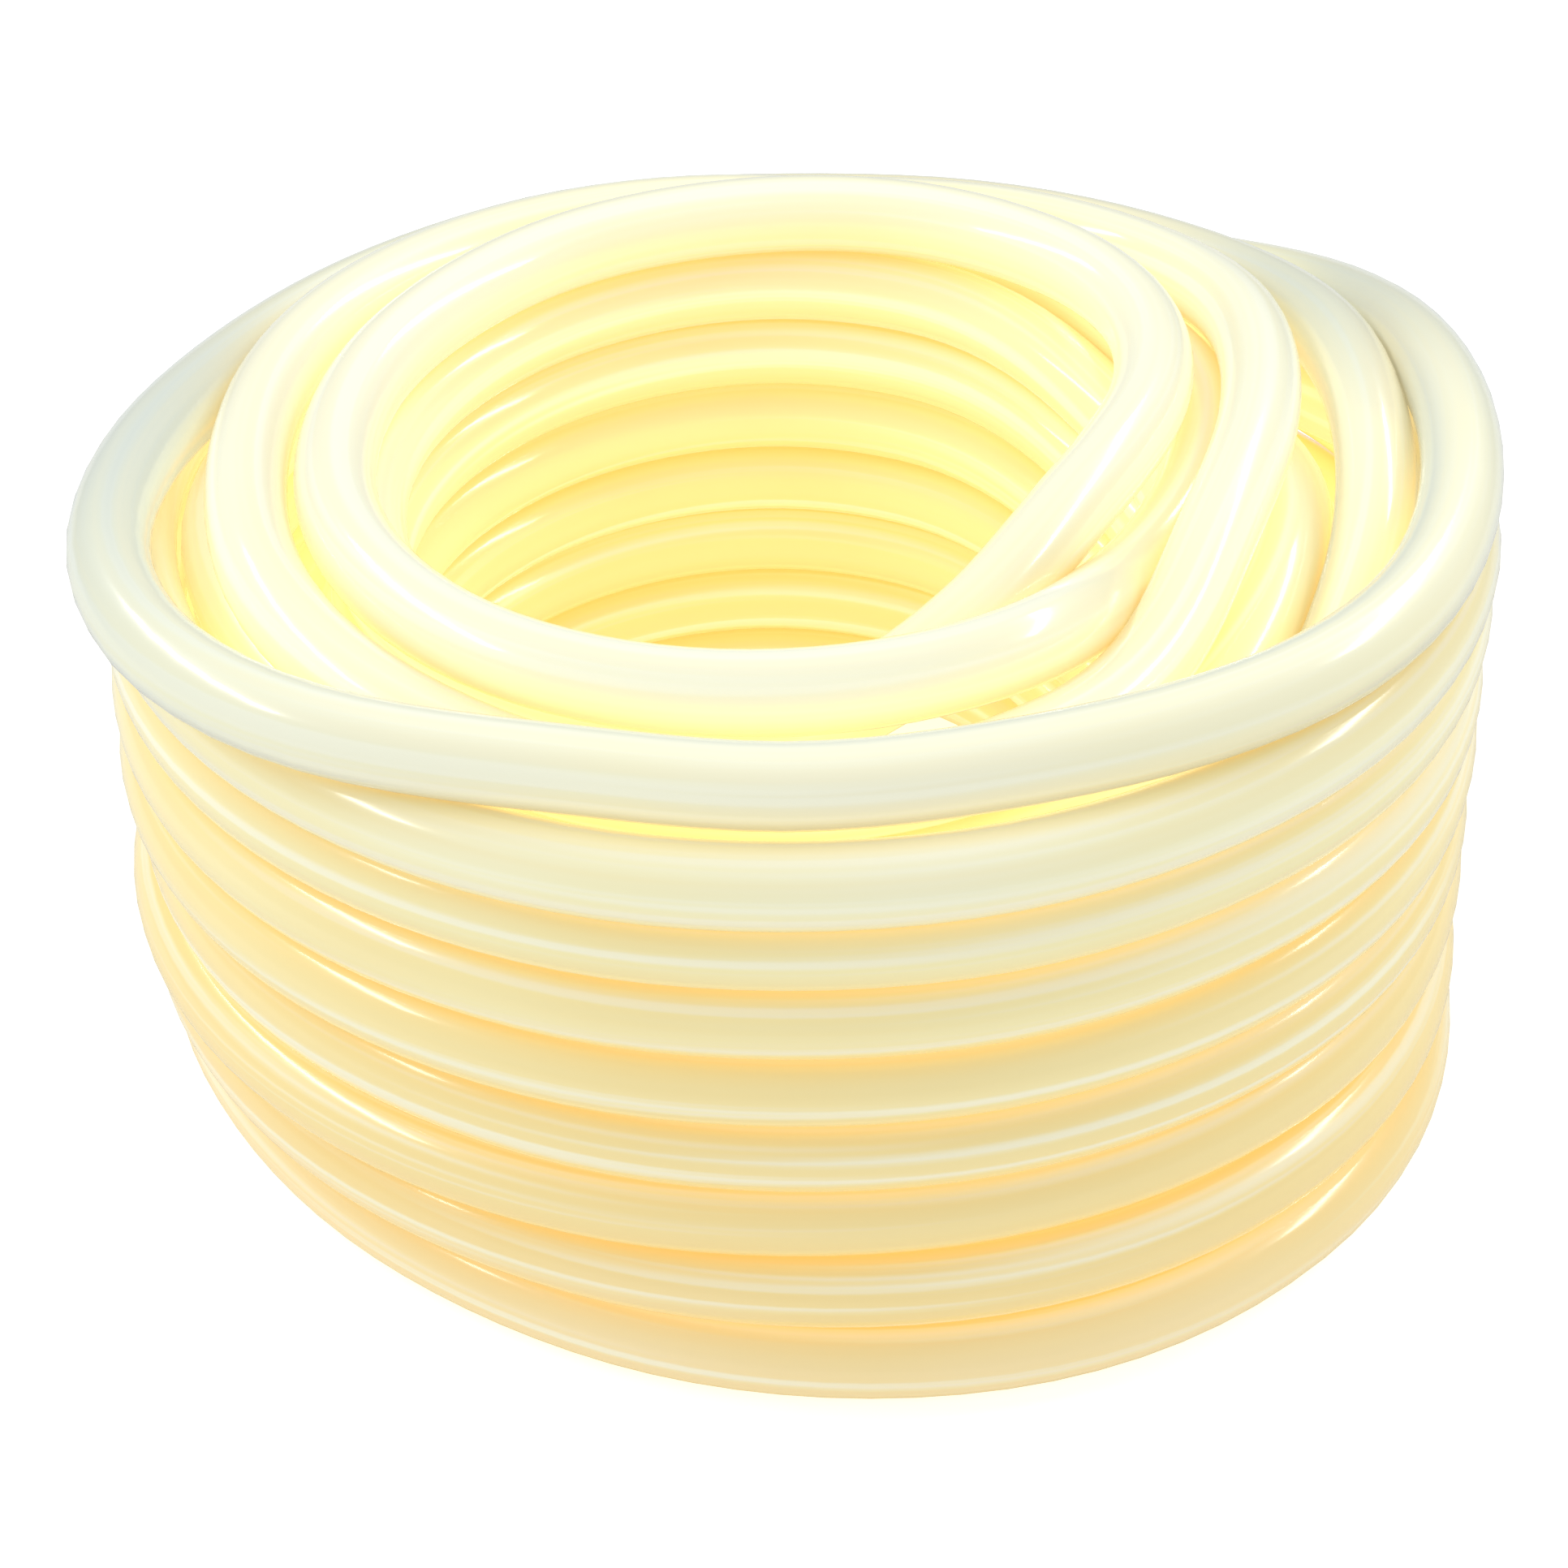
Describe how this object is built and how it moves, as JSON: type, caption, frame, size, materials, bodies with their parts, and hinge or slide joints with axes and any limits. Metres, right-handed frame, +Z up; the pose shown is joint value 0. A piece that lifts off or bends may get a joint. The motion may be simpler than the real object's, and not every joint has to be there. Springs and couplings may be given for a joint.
{
  "type": "silicone tubing coil",
  "caption": "Coil of flexible translucent silicone tubing, wound by hand into a thick ring that lies flat; both cut ends are open bores.",
  "frame": {"origin": "centre of the coil's box at the floor", "axes": "+Z up along the coil's axis, -Y towards the front of the picture, +X to its right"},
  "size_m": [0.4108, 0.4433, 0.2175],
  "materials": {
    "silicone": "smooth translucent silicone"
  },
  "bodies": {
    "root": {"tubing_coil": "silicone"}
  },
  "joints": []
}
